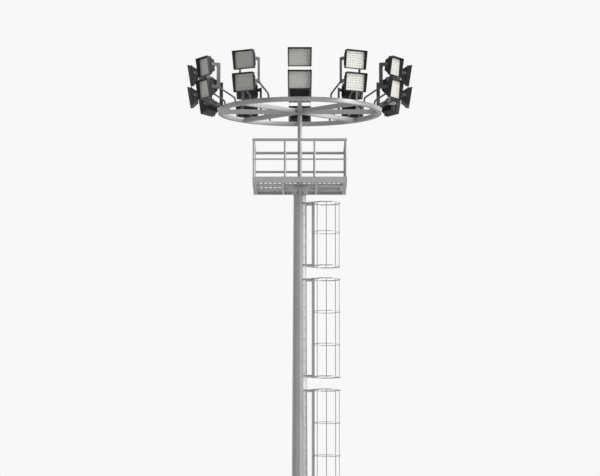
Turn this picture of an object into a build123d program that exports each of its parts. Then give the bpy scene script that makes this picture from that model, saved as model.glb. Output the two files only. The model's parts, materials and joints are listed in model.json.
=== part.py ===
from build123d import *
import os
from math import cos, pi, sqrt

# Base flange, bolted to a foundation.
flange_d = 800
flange_t = 40
anchor_count = 12
anchor_pcd = 660
anchor_hole_d = 36
gusset_t = 15
gusset_h = 220
gusset_nose_h = 35
gusset_rim_gap = 30

# Twelve-sided tapered mast in two sections that slip together.
mast_sides = 12
mast_wall = 6
mast_top_r = 160
mast_top_z = 13285
mast_taper_share = 0.0059
lap_z = 5000
lap_length = 600
cap_t = 20
cap_lip = 8

# Head that carries the platform on flared struts.
strut_count = 8
strut_d = 36
strut_sides = 12
strut_foot_r = 142
strut_head_r = 250
head_gap_h = 155
head_disc_r = 290
head_disc_t = 20

# Square platform of closed edge beams, joists and deck plates with rows of drain slots.
platform_half = 1210
edge_h = 150
edge_flange_w = 105
edge_web_t = 8
deck_rise = 50
deck_t = 6
joist_x = 430
joist_w = 50
cradle_y = 205
deck_seam = 5
deck_edge_gap = 4
drain_w = 70
drain_l = 160
drain_margin = 210
drain_pitch = 120
drain_rows = 3
drain_hatch_gap = 217
drain_back_inset = 223
pole_notch = 170

# Trapdoor over the ladder, hinged on its outer edge.
hatch_y_half = 400
hatch_lap = 12
hatch_gap = 8
hatch_rest_gap = 0.3
hinge_pin_d = 16
hinge_rise = 16
hinge_ear_t = 12
hinge_ear_gap = 6
hinge_ear_w = 36

# Railings round the platform.
rail_sides = 12
post_d = 54
top_rail_d = 72
mid_rail_d = 42
back_mid_rail_d = 62
rail_inset = 30
inner_post_x = 380
top_rail_z = 14588
mid_rail_z = 14085
rail_overhang = 34

# Pole, hub, spokes and rim of the lamp ring.
pole_d = 114
hub_r = 152
ring_z = 15500
ring_h = 110
rim_w = 120
rim_r = 2070
spoke_count = 8
spoke_w = 110

# Lamp stations on the rim, each with two floodlights one above the other.
station_count = 12
lamp_reach = 665
upper_pivot_z = 16481
lower_pivot_z = 15903

# Side frames: slotted plate on a bent tube.
frame_half_gap = 272
frame_plate_t = 8
frame_reach = 230
frame_bar_w = 108
frame_arm_half_h = 50
frame_nose_r = 38
frame_nose_sides = 16
frame_fillet_r = 34
stay_d = 45
stay_sides = 8
stay_inset = 36
stay_root_rise = 40
stay_knee_rise = 100
stay_bend_r = 85
stay_bend_share = 0.95

# Floodlight, measured from its pivot, x pointing forward.
lamp_rest_tilt = 5
lamp_drop = 25
lamp_flange_back = 45
lamp_flange_t = 15
lamp_flange_w = 590
lamp_flange_h = 470
hood_root_w = 566
hood_root_h = 446
hood_mouth_w = 610
hood_mouth_h = 490
hood_top_depth = 107
hood_bottom_depth = 71
hood_wall = 6
box_root_w = 530
box_root_h = 430
box_back_w = 520
box_back_h = 290
box_depth = 92
boss_d = 50
boss_root_inset = 40
boss_sides = 12
trunnion_d = 20
trunnion_sides = 12
trunnion_head_d = 36
trunnion_head_t = 12
trunnion_head_sides = 6

# Ladder modules and their safety cages, on the +X side of the mast.
module_pitch = 2870
module_h = 2560
first_full_top_z = 11130
full_modules = 3
short_top_z = 13116
short_h = 1677
full_hoop_shares = (0, 1 / 3, 2 / 3, 1)
short_hoop_shares = (0, 0.54, 1)
stringer_x = 347
stringer_w = 75
stringer_t = 12
ladder_w = 400
rung_d = 28
rung_sides = 8
rung_pitch = 280
arm_h = 45
arm_t = 12
arm_mast_y = 140
arm_end_inset = 10
standoff_leg_x = 165
standoff_leg_w = 26
cage_sides = 8
cage_r = 343
cage_x = 690
end_hoop_h = 26
mid_hoop_h = 16
hoop_t = 10
hoop_lap = 28
cage_bar_count = 7
cage_bar_d = 18
cage_bar_sides = 8

# Clearances and the overrun that every cut takes.
seat_gap = 0.2
slip_gap = 0.3
pin_gap = 0.3
overrun = 50

# Places that follow from the sizes above.
flat_cos = cos(pi / mast_sides)
lower_inset = mast_wall + slip_gap
cap_top_z = mast_top_z + cap_t
head_disc_z = cap_top_z + head_gap_h
platform_z = head_disc_z + head_disc_t
edge_top_z = platform_z + edge_h
deck_z = platform_z + deck_rise
deck_top_z = deck_z + deck_t
flange_tip = platform_half - edge_flange_w
deck_half = platform_half - edge_web_t - deck_edge_gap
drain_back_y = deck_half - drain_back_inset
rail_line = platform_half - rail_inset
ring_bottom_z = ring_z - ring_h / 2
ring_top_z = ring_z + ring_h / 2
rim_in_r = rim_r - rim_w / 2
rim_out_r = rim_r + rim_w / 2
pivot_r = rim_r + lamp_reach
frame_bar_in_r = pivot_r - frame_reach
stay_root_r = frame_bar_in_r + stay_inset
trimmer_x = flange_tip - joist_w
hatch_x0 = joist_x + deck_seam
hatch_x1 = trimmer_x + hatch_lap
hatch_lid_half = hatch_y_half + hatch_lap
hatch_ear_clear = hatch_lid_half + hinge_ear_gap + hinge_ear_t + hatch_gap
drain_front_y = -hatch_ear_clear - drain_hatch_gap
hinge_x = hatch_x1
hinge_z = deck_top_z + hinge_rise


def save(name, *solids):
    """Write one node; several solids stay apart inside it."""
    shape = solids[0] if len(solids) == 1 else Compound(children=list(solids))
    shape.label = name
    export_step(shape, os.path.join("parts", name + ".step"))


def block(x0, x1, y0, y1, z0, z1):
    """Box between two corners."""
    centre = Pos((x0 + x1) / 2, (y0 + y1) / 2, (z0 + z1) / 2)
    return centre * Box(x1 - x0, y1 - y0, z1 - z0)


def disc(radius, z0, z1):
    """Upright round bar or plate."""
    return Pos(0, 0, (z0 + z1) / 2) * Cylinder(radius, z1 - z0)


def even_polygon(flat_r, sides):
    """Regular outline with a flat on its x axis, measured to its flats."""
    return RegularPolygon(flat_r, sides, major_radius=False, rotation=180 / sides)


def bar_between(start, end, diameter, sides):
    """Straight few-sided bar, flat side up."""
    axis = Vector(*end) - Vector(*start)
    return extrude(Plane(origin=start, z_dir=axis) * even_polygon(diameter / 2, sides), axis.length)


def mast_r(z):
    """Corner radius of the mast's outside at a height."""
    return mast_top_r + mast_taper_share * (mast_top_z - z)


def surface_r(z):
    """Corner radius of whichever mast section shows at a height."""
    return mast_r(z) if z > lap_z else mast_r(z) - lower_inset / flat_cos


def mast_form(z0, z1, inset):
    """Tapered twelve-sided solid, its flats set in from the outside."""
    ends = []
    for z in (z0, z1):
        ends.append((Pos(0, 0, z) * RegularPolygon(mast_r(z) - inset / flat_cos, mast_sides)).face())
    return loft(ends, ruled=True)


def mast_section(z0, z1, inset):
    """One hollow length of the mast."""
    bore = mast_form(z0 - overrun, z1 + overrun, inset + mast_wall)
    return mast_form(z0, z1, inset) - bore


def base_flange():
    """Round foot with anchor holes and a gusset on every flat of the mast."""
    foot = disc(flange_d / 2, 0, flange_t)
    drill = Cylinder(anchor_hole_d / 2, 2 * flange_t + overrun)
    foot = foot - PolarLocations(anchor_pcd / 2, anchor_count) * drill
    inner_r = mast_top_r
    outer_r = flange_d / 2 - gusset_rim_gap
    shoulder_r = mast_r(flange_t)
    outline = Polygon(
        (inner_r, flange_t),
        (outer_r, flange_t),
        (outer_r, flange_t + gusset_nose_h),
        (shoulder_r, flange_t + gusset_h),
        (inner_r, flange_t + gusset_h),
        align=None,
    )
    gusset = extrude(Plane.XZ * outline, gusset_t / 2, both=True)
    gusset = gusset - Rot(0, 0, 180 / mast_sides) * mast_form(
        0, flange_t + gusset_h + overrun, lower_inset - seat_gap
    )
    for index in range(mast_sides):
        foot = foot + Rot(0, 0, (index + 1 / 2) * 360 / mast_sides) * gusset
    return foot


def head_struts():
    """Twelve-sided struts that flare from the mast's cap to the head disc."""
    foot = Vector(strut_foot_r, 0, cap_top_z)
    head = Vector(strut_head_r, 0, head_disc_z)
    axis = (head - foot).normalized()
    plane = Plane(origin=foot - axis * overrun, x_dir=(0, 1, 0), z_dir=axis)
    rod = extrude(plane * even_polygon(strut_d / 2, strut_sides), (head - foot).length + 2 * overrun)
    reach = strut_head_r + strut_d
    rod = rod & block(0, reach, -reach, reach, cap_top_z, head_disc_z)
    return [Rot(0, 0, index * 360 / strut_count) * rod for index in range(strut_count)]


def edge_beam():
    """Front beam of the platform, mitred: a closed foot that the deck rests on, a web and a top flange."""
    outside = -platform_half
    inside = outside + edge_flange_w
    beam = block(-platform_half, platform_half, outside, outside + edge_web_t, platform_z, edge_top_z)
    beam = beam + block(-platform_half, platform_half, inside - edge_web_t, inside, platform_z, deck_z)
    for top in (platform_z + edge_web_t, deck_z, edge_top_z):
        beam = beam + block(-platform_half, platform_half, outside, inside, top - edge_web_t, top)
    corner = platform_half + overrun
    triangle = Polygon((0, 0), (-corner, -corner), (corner, -corner), align=None)
    mitre = extrude(Pos(0, 0, platform_z) * triangle, edge_h)
    return beam & mitre


def deck_joists():
    """Joists, cradle bars over the mast and trimmers round the trapdoor."""
    bars = []
    for side in (-1, 1):
        x0 = side * joist_x - joist_w / 2
        y0 = side * cradle_y - joist_w / 2
        bars.append(block(x0, x0 + joist_w, -flange_tip, flange_tip, platform_z, deck_z))
        bars.append(block(-joist_x, joist_x, y0, y0 + joist_w, platform_z, deck_z))
        inner = min(side * hatch_y_half, side * (hatch_y_half + joist_w))
        bars.append(block(joist_x, flange_tip, inner, inner + joist_w, platform_z, deck_z))
    bars.append(block(trimmer_x, flange_tip, -hatch_y_half, hatch_y_half, platform_z, deck_z))
    frame = bars[0].fuse(*bars[1:])
    for side in (-1, 1):
        frame = frame + hinge_lug(side)
    return frame


def hinge_lug(side):
    """Upright plate on the trimmer that holds one end of the trapdoor's pin."""
    near = side * (hatch_lid_half + hinge_ear_gap)
    far = near + side * hinge_ear_t
    half_w = hinge_ear_w / 2
    outline = Pos(hinge_x, hinge_z) * Circle(half_w)
    outline = outline + Pos(hinge_x, (hinge_z + deck_z - joist_w / 2) / 2) * Rectangle(
        hinge_ear_w, hinge_z - deck_z + joist_w / 2)
    outline = outline - Pos(hinge_x, hinge_z) * Circle(hinge_pin_d / 2 + pin_gap)
    lug = extrude(Plane.XZ * outline, hinge_ear_t)
    return Pos(0, max(near, far), 0) * lug


def deck_plate(x0, x1, y0, y1):
    """Plain plate with the drain slots that fall on it."""
    columns = int((x1 - x0) / drain_pitch)
    plate = block(x0, x1, y0, y1, deck_z, deck_top_z)
    for row in range(drain_rows):
        y = drain_front_y + (drain_back_y - drain_front_y) * row / (drain_rows - 1)
        if columns > 0 and y0 + drain_margin < y < y1 - drain_margin:
            centre = Pos((x0 + x1) / 2, y, deck_z)
            punch = Box(drain_w, drain_l, deck_t + overrun)
            slots = GridLocations(drain_pitch, drain_pitch, columns, 1) * punch
            plate = plate - [centre * slot for slot in slots]
    return plate


def deck_middle():
    """Front and back plates of the middle bay, notched round the pole."""
    half_w = joist_x - deck_seam
    half_notch = pole_notch / 2
    well = block(-half_notch, half_notch, -half_notch, half_notch, deck_z - overrun, deck_top_z + overrun)
    front = deck_plate(-half_w, half_w, -deck_half, -deck_seam / 2) - well
    back = deck_plate(-half_w, half_w, deck_seam / 2, deck_half) - well
    return [front, back]


def deck_right():
    """Plates in front of, behind and outside the trapdoor."""
    lid_clear = hatch_lid_half + hatch_gap
    strip_x = hinge_x + hinge_ear_w / 2 + hatch_gap
    return [
        deck_plate(hatch_x0, deck_half, -deck_half, -hatch_ear_clear),
        deck_plate(hatch_x0, deck_half, hatch_ear_clear, deck_half),
        deck_plate(strip_x, deck_half, -lid_clear, lid_clear),
    ]


def hatch_lid():
    """Plain plate with an ear and a pin at each end of its hinge."""
    low_z = deck_z + hatch_rest_gap
    far_x = hinge_x - hinge_ear_w / 2
    lid = block(hatch_x0, far_x, -hatch_lid_half, hatch_lid_half, low_z, deck_top_z)
    half_w = hinge_ear_w / 2
    arm = Pos(hinge_x, hinge_z) * Circle(half_w)
    arm = arm + Polygon(
        (far_x - hinge_ear_w, low_z),
        (hinge_x, hinge_z - half_w),
        (hinge_x, hinge_z + half_w),
        (far_x - hinge_ear_w, deck_top_z),
        align=None,
    )
    ear = extrude(Plane.XZ * arm, hinge_ear_t)
    pin_length = hinge_ear_t + hinge_ear_gap + hinge_ear_t
    pin = extrude(Plane.XZ * (Pos(hinge_x, hinge_z) * Circle(hinge_pin_d / 2)), pin_length)
    lid = lid + Pos(0, -hatch_lid_half + hinge_ear_t, 0) * (ear + pin)
    lid = lid + Pos(0, hatch_lid_half, 0) * ear
    lid = lid + Pos(0, hatch_lid_half + hinge_ear_gap + hinge_ear_t, 0) * pin
    return lid


def railing(post_xs, top_end, mid_end, mid_d):
    """Front railing: posts on the edge beam, a top rail and a middle rail."""
    y = -rail_line
    bars = []
    for x in post_xs:
        bars.append(bar_between((x, y, edge_top_z), (x, y, top_rail_z), post_d, rail_sides))
    for z, end, size in ((top_rail_z, top_end, top_rail_d), (mid_rail_z, mid_end, mid_d)):
        bars.append(bar_between((-end, y, z), (end, y, z), size, rail_sides))
    return bars[0].fuse(*bars[1:])


def rim():
    """Square-section hoop."""
    bore = disc(rim_in_r, ring_bottom_z - overrun, ring_top_z + overrun)
    return disc(rim_out_r, ring_bottom_z, ring_top_z) - bore


def spokes():
    """Square bars from the hub to the rim, ends shaped to both."""
    bar = block(0, rim_r, -spoke_w / 2, spoke_w / 2, ring_bottom_z, ring_top_z)
    bar = bar & disc(rim_in_r, ring_bottom_z, ring_top_z)
    bar = bar - disc(hub_r, ring_bottom_z - overrun, ring_top_z + overrun)
    return [Rot(0, 0, index * 360 / spoke_count) * bar for index in range(spoke_count)]


def side_frame():
    """Bracket plate on the radial XZ plane, with its bent tube stay."""
    bar_out_r = frame_bar_in_r + frame_bar_w
    bottom_z = lower_pivot_z - frame_arm_half_h
    top_z = upper_pivot_z + frame_arm_half_h
    outline = Pos((frame_bar_in_r + bar_out_r) / 2, (bottom_z + top_z) / 2) * Rectangle(
        frame_bar_w, top_z - bottom_z)
    for pivot_z in (lower_pivot_z, upper_pivot_z):
        outline = outline + Polygon(
            (bar_out_r - frame_arm_half_h, pivot_z - frame_arm_half_h),
            (bar_out_r, pivot_z - frame_arm_half_h),
            (pivot_r, pivot_z - frame_nose_r),
            (pivot_r, pivot_z + frame_nose_r),
            (bar_out_r, pivot_z + frame_arm_half_h),
            (bar_out_r - frame_arm_half_h, pivot_z + frame_arm_half_h),
            align=None,
        )
        outline = outline + Pos(pivot_r, pivot_z) * even_polygon(frame_nose_r, frame_nose_sides)
    throat_low = lower_pivot_z + frame_arm_half_h
    throat_high = upper_pivot_z - frame_arm_half_h
    throat = [v for v in outline.vertices()
              if abs(v.X - bar_out_r) < seat_gap and throat_low - seat_gap < v.Y < throat_high + seat_gap]
    outline = fillet(throat, frame_fillet_r)
    for pivot_z in (lower_pivot_z, upper_pivot_z):
        outline = outline - Pos(pivot_r, pivot_z) * even_polygon(trunnion_d / 2 + pin_gap, trunnion_sides)
    plate = extrude(Plane.XZ * outline, frame_plate_t / 2, both=True)
    path = FilletPolyline(
        (stay_root_r, 0, bottom_z + stay_root_rise),
        (rim_r, 0, ring_top_z + stay_knee_rise),
        (rim_r, 0, ring_top_z),
        radius=min(stay_bend_r, stay_bend_share * stay_knee_rise / stay_turn_share()),
    )
    section = Plane(origin=path @ 0, x_dir=(0, 1, 0), z_dir=path % 0) * even_polygon(stay_d / 2, stay_sides)
    stay = sweep(section, path=path)
    return plate + stay


def stay_turn_share():
    """Tangent length of the stay's bend for each unit of its radius."""
    run = stay_root_r - rim_r
    rise = lower_pivot_z - frame_arm_half_h + stay_root_rise - ring_top_z - stay_knee_rise
    slope = rise / sqrt(run * run + rise * rise)
    return sqrt((1 - slope) / (1 + slope))


def on_station(shape, index):
    """Turn a piece drawn along +X to its station; the first faces -Y."""
    return Rot(0, 0, index * 360 / station_count - 90) * shape


def floodlight():
    """Housing with a recessed front, open hood, rear box and trunnions, about its pivot."""
    front = lamp_flange_back + lamp_flange_t
    flange = block(lamp_flange_back, front, -lamp_flange_w / 2, lamp_flange_w / 2, -lamp_flange_h / 2,
                   lamp_flange_h / 2)
    hood = hood_form(front, 0) - hood_form(front, hood_wall)
    mouth = Polygon(
        (front + hood_top_depth, hood_mouth_h / 2),
        (front + hood_bottom_depth, -hood_mouth_h / 2),
        (front + hood_bottom_depth, -hood_mouth_h),
        (front + 2 * hood_top_depth, -hood_mouth_h),
        (front + 2 * hood_top_depth, hood_mouth_h),
        (front + hood_top_depth, hood_mouth_h),
        align=None,
    )
    hood = hood - extrude(Plane.XZ * mouth, hood_mouth_w, both=True)
    box = loft([
        yz_rectangle(lamp_flange_back, box_root_w, box_root_h),
        yz_rectangle(lamp_flange_back - box_depth, box_back_w, box_back_h),
    ], ruled=True)
    lamp = Pos(0, 0, -lamp_drop) * (flange + hood + box)
    for side in (-1, 1):
        lamp = lamp + trunnion(side)
    return lamp


def yz_rectangle(x, width, height):
    """Face across the lamp's forward axis."""
    return (Plane(origin=(x, 0, 0), x_dir=(0, 1, 0), z_dir=(1, 0, 0)) * Rectangle(width, height)).face()


def hood_form(front, inset):
    """Flared solid of the hood, its walls set in by a thickness."""
    depth = hood_top_depth
    return loft([
        yz_rectangle(front, hood_root_w - 2 * inset, hood_root_h - 2 * inset),
        yz_rectangle(front + depth, hood_mouth_w - 2 * inset, hood_mouth_h - 2 * inset),
    ], ruled=True)


def trunnion(side):
    """Boss, pin and hexagon head on one side of a lamp."""
    boss_end = frame_half_gap - slip_gap
    head_at = frame_half_gap + frame_plate_t + slip_gap
    boss_start = box_back_w / 2 - boss_root_inset
    pieces = [(boss_start, boss_end, even_polygon(boss_d / 2, boss_sides)),
              (boss_end, head_at, RegularPolygon(trunnion_d / 2, trunnion_sides)),
              (head_at, head_at + trunnion_head_t, RegularPolygon(trunnion_head_d / 2, trunnion_head_sides))]
    solid = None
    for y0, y1, section in pieces:
        plane = Plane(origin=(0, side * y0, 0), x_dir=(1, 0, 0), z_dir=(0, side, 0))
        piece = extrude(plane * section, y1 - y0)
        solid = piece if solid is None else solid + piece
    return solid


def module_spans():
    """Top, bottom and hoop places of every ladder module, from the top down."""
    spans = [(short_top_z, short_top_z - short_h, short_hoop_shares)]
    for index in range(full_modules):
        top = first_full_top_z - index * module_pitch
        spans.append((top, top - module_h, full_hoop_shares))
    return spans


def ladder(top, bottom):
    """Two flat stringers and their rungs."""
    bars = []
    x0 = stringer_x - stringer_w / 2
    x1 = stringer_x + stringer_w / 2
    for side in (-1, 1):
        y = side * (ladder_w + stringer_t) / 2
        bars.append(block(x0, x1, y - stringer_t / 2, y + stringer_t / 2, bottom, top))
    count = int((top - bottom) / rung_pitch)
    first = (top + bottom - (count - 1) * rung_pitch) / 2
    for index in range(count):
        z = first + index * rung_pitch
        half = (ladder_w + stringer_t) / 2
        bars.append(bar_between((stringer_x, -half, z), (stringer_x, half, z), rung_d, rung_sides))
    return bars[0].fuse(*bars[1:])


def standoff_frames(top, bottom):
    """Flat frame on each side: two arms from the mast to a stringer, tied by an upright leg."""
    outer_y = ladder_w / 2 - arm_t / 2 - seat_gap
    low = bottom + arm_end_inset
    high = top - arm_end_inset
    frames = []
    for side in (-1, 1):
        start = Vector(0, side * arm_mast_y)
        along = (Vector(stringer_x, side * outer_y) - start).normalized()
        across = along.cross(Vector(0, 0, 1))
        plane = Plane(origin=start, x_dir=along, z_dir=across)
        reach = stringer_x / along.X
        leg_at = standoff_leg_x / along.X
        frame = upright_flat(plane, leg_at - standoff_leg_w / 2, leg_at + standoff_leg_w / 2, low, high)
        for z in (low, high - arm_h):
            core = extrude(Pos(0, 0, z - overrun) * RegularPolygon(surface_r(z) + seat_gap, mast_sides),
                           arm_h + 2 * overrun)
            frame = frame + (upright_flat(plane, 0, reach, z, z + arm_h) - core)
        frames.append(frame)
    return frames


def upright_flat(plane, a0, a1, z0, z1):
    """Flat bar in an upright plane, between two stations along it and two heights."""
    outline = Pos((a0 + a1) / 2, (z0 + z1) / 2) * Rectangle(a1 - a0, z1 - z0)
    return extrude(plane * outline, arm_t / 2, both=True)


def cage_hoop(z, height):
    """Flat hoop: an eight-sided bow with straight tails along the stringers."""
    tail_y = ladder_w / 2 + stringer_t + seat_gap
    meet_x = cage_x + tail_y - sqrt(2) * cage_r
    bow = Pos(cage_x, 0) * (even_polygon(cage_r + hoop_t, cage_sides) - even_polygon(cage_r, cage_sides))
    reach = cage_r + hoop_t
    bow = bow & Pos((meet_x + cage_x + reach) / 2, 0) * Rectangle(cage_x + reach - meet_x, 2 * reach)
    tail_x0 = stringer_x + stringer_w / 2 - hoop_lap
    tail_x1 = max(tail_x0, meet_x) + hoop_t
    for side in (-1, 1):
        centre = Pos((tail_x0 + tail_x1) / 2, side * (tail_y + hoop_t / 2))
        bow = bow + centre * Rectangle(tail_x1 - tail_x0, hoop_t)
    return extrude(Pos(0, 0, z - height / 2) * bow, height)


def cage_hoops(top, bottom, shares):
    """Hoops of one module, the first and last flush with its ends and stouter."""
    hoops = []
    for share in shares:
        height = end_hoop_h if share in (0, 1) else mid_hoop_h
        hoops.append(cage_hoop(bottom + end_hoop_h / 2 + share * (top - bottom - end_hoop_h), height))
    return hoops


def cage_bars(top, bottom):
    """Upright few-sided bars inside the hoops, one on the middle of each flat but the mast's."""
    bars = []
    line_r = cage_r - cage_bar_d / 2 - seat_gap
    for index in range(cage_bar_count):
        angle = 360 / cage_sides * (index - (cage_bar_count - 1) / 2)
        bar = bar_between((line_r, 0, bottom), (line_r, 0, top), cage_bar_d, cage_bar_sides)
        bars.append(Pos(cage_x, 0, 0) * (Rot(0, 0, angle) * bar))
    return bars


def build():
    """Build every node in turn."""
    os.makedirs("parts", exist_ok=True)

    save("base_flange", base_flange())
    save("mast_lower", mast_section(flange_t, lap_z + lap_length, lower_inset))
    save("mast_upper", mast_section(lap_z, mast_top_z, 0))
    save("mast_cap", disc(mast_top_r + cap_lip, mast_top_z, cap_top_z))
    save("head_struts", *head_struts())
    pole_hole = disc(pole_d / 2 + slip_gap, head_disc_z - overrun, platform_z + overrun)
    save("head_disc", disc(head_disc_r, head_disc_z, platform_z) - pole_hole)

    beam = edge_beam()
    save("edge_beams_front_back", beam, Rot(0, 0, 180) * beam)
    save("edge_beams_sides", Rot(0, 0, 90) * beam, Rot(0, 0, -90) * beam)
    save("deck_joists", deck_joists())
    save("deck_left", deck_plate(-deck_half, -joist_x - deck_seam, -deck_half, deck_half))
    save("deck_middle", *deck_middle())
    save("deck_right", *deck_right())
    save("hatch_lid", hatch_lid())

    posts = (-rail_line, -inner_post_x, inner_post_x, rail_line)
    rail_end = rail_line + rail_overhang
    save("railing_front", railing(posts, rail_end, rail_end, mid_rail_d))
    save("railing_back", Rot(0, 0, 180) * railing(posts, rail_end, rail_end, back_mid_rail_d))
    top_end = rail_line - top_rail_d / 2 - slip_gap
    mid_end = rail_line - max(post_d, back_mid_rail_d) / 2 - slip_gap
    side = railing((-inner_post_x, inner_post_x), top_end, mid_end, mid_rail_d)
    save("railing_left", Rot(0, 0, -90) * side)
    save("railing_right", Rot(0, 0, 90) * side)

    save("head_pole", disc(pole_d / 2, cap_top_z, ring_bottom_z))
    save("ring_hub", disc(hub_r, ring_bottom_z, ring_top_z))
    save("ring_rim", rim())
    save("ring_spokes", *spokes())

    pair = []
    plate = side_frame()
    for side_sign in (-1, 1):
        pair.append(Pos(0, side_sign * (frame_half_gap + frame_plate_t / 2), 0) * plate)
    quarter = station_count // 4
    for group, name in enumerate(("front", "right", "back", "left")):
        frames = []
        first = group * quarter - 1
        for index in range(first, first + quarter):
            frames.extend(on_station(item, index) for item in pair)
        save("side_frames_" + name, *frames)

    lamp = Rot(0, lamp_rest_tilt, 0) * floodlight()
    for index in range(station_count):
        for row, pivot_z in (("upper", upper_pivot_z), ("lower", lower_pivot_z)):
            save("floodlight_%02d_%s" % (index + 1, row), on_station(Pos(pivot_r, 0, pivot_z) * lamp, index))

    ladders = []
    standoffs = []
    hoops = []
    bars = []
    for top, bottom, shares in module_spans():
        ladders.append(ladder(top, bottom))
        standoffs.extend(standoff_frames(top, bottom))
        hoops.extend(cage_hoops(top, bottom, shares))
        bars.extend(cage_bars(top, bottom))
    save("ladders", *ladders)
    save("ladder_standoffs", *standoffs)
    save("cage_hoops", *hoops)
    save("cage_bars", *bars)


build()
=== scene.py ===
"""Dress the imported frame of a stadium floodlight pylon: finishes, lamp fronts, fixings, welds and stage."""

import json
import math

import bpy
from bpy.props import FloatProperty, FloatVectorProperty, IntProperty, PointerProperty
from mathutils import Matrix, Vector


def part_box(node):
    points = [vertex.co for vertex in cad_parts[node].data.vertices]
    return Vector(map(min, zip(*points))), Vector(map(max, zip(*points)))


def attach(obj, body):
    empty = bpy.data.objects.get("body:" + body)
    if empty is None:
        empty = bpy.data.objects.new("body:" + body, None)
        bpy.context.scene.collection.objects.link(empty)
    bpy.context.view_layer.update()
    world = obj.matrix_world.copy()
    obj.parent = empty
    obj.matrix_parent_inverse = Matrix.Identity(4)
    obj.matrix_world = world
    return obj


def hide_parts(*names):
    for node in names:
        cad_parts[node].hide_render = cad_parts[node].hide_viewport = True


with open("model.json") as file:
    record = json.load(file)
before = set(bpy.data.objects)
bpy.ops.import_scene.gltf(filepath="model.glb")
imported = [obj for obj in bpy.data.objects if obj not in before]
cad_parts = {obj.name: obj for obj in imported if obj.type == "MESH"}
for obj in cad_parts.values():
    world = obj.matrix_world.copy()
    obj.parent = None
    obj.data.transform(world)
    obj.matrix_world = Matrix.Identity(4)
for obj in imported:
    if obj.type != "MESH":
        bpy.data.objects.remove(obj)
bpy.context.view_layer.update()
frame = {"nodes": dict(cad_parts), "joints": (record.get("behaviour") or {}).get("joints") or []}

bl_info = {
    "name": "Floodlight pylon",
    "version": (1, 0, 0),
    "blender": (4, 5, 0),
    "location": "View3D > Sidebar > Pylon",
    "description": "Dresses the frame of a stadium floodlight pylon",
    "category": "Object",
}

UP = Vector((0, 0, 1))
SMOOTH_ANGLE = math.radians(32)
REST_TILT = math.radians(5)
# Size of a screw beside that of a small bolt
SCREW_SHARE = 0.8
HALF = 0.5

STEEL_NODES = (
    "base_flange", "mast_lower", "mast_upper", "mast_cap", "edge_beams_front_back", "edge_beams_sides",
    "head_pole", "ring_hub", "ring_rim", "ring_spokes",
)
# Nodes under the deck that get a lighter copy of the steel: painted light that lifts the shade there
PAINTED_LIGHT_NODES = ("deck_joists", "head_struts", "head_disc")
DECK_NODES = ("deck_left", "deck_middle", "deck_right", "hatch_lid")
CAGE_NODES = ("ladder_standoffs", "cage_hoops", "cage_bars", "ladders")
FRAME_STATIONS = {
    "side_frames_front": ("12", "01", "02"),
    "side_frames_right": ("03", "04", "05"),
    "side_frames_back": ("06", "07", "08"),
    "side_frames_left": ("09", "10", "11"),
}
SOFT_NODES = (
    "base_flange", "mast_cap", "head_disc", "edge_beams_front_back", "edge_beams_sides", "deck_joists",
    "ring_hub", "ring_rim", "ring_spokes", "ladder_standoffs", "cage_hoops",
)
SHORT_HOOP_SHARES = (0, 0.54, 1)
FULL_HOOP_SHARES = (0, 1 / 3, 2 / 3, 1)


def colour_property(name, description, default):
    """Colour that a user would change."""
    return FloatVectorProperty(name=name, description=description, subtype="COLOR", size=3, min=0, max=1,
                               default=default)


def length_property(name, description, default):
    """Length that a user would change, in metres."""
    return FloatProperty(name=name, description=description, subtype="DISTANCE", unit="LENGTH", min=0,
                         precision=4, default=default)


def angle_property(name, description, degrees):
    """Angle that a user would change."""
    return FloatProperty(name=name, description=description, subtype="ANGLE", default=math.radians(degrees))


class PylonFinishes(bpy.types.PropertyGroup):
    """Colours of the pylon's finishes."""

    steel: colour_property("Steel", "Galvanised steel of the mast, platform and ring", (0.39, 0.39, 0.39))
    deck: colour_property("Deck", "Deck plates and trapdoor", (0.36, 0.36, 0.36))
    # Painted light: a lighter copy of the galvanised steel for the parts under the deck, lifting their shade
    bright: colour_property("Bright zinc", "Joists and struts under the deck", (0.60, 0.60, 0.60))
    rail: colour_property("Rail", "Railings of the platform", (0.40, 0.40, 0.40))
    cage: colour_property("Cage", "Ladder, stand-offs and safety cage", (0.36, 0.36, 0.36))
    bracket: colour_property("Bracket", "Side frames that hold the lamps", (0.085, 0.086, 0.09))
    housing: colour_property("Housing", "Lamp housings", (0.045, 0.045, 0.047))
    optic: colour_property("Optic", "Moulded optics over the light sources", (0.53, 0.52, 0.475))
    board: colour_property("Board", "Board between the optics", (0.50, 0.49, 0.45))
    zinc: colour_property("Zinc", "Plated bolts and nuts", (0.25, 0.25, 0.245))
    weld: colour_property("Weld", "Weld beads", (0.34, 0.34, 0.34))
    floor: colour_property("Floor", "Pale studio floor", (0.90, 0.90, 0.90))
    backdrop: colour_property("Backdrop", "Pale studio backdrop", (0.939, 0.939, 0.939))


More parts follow.
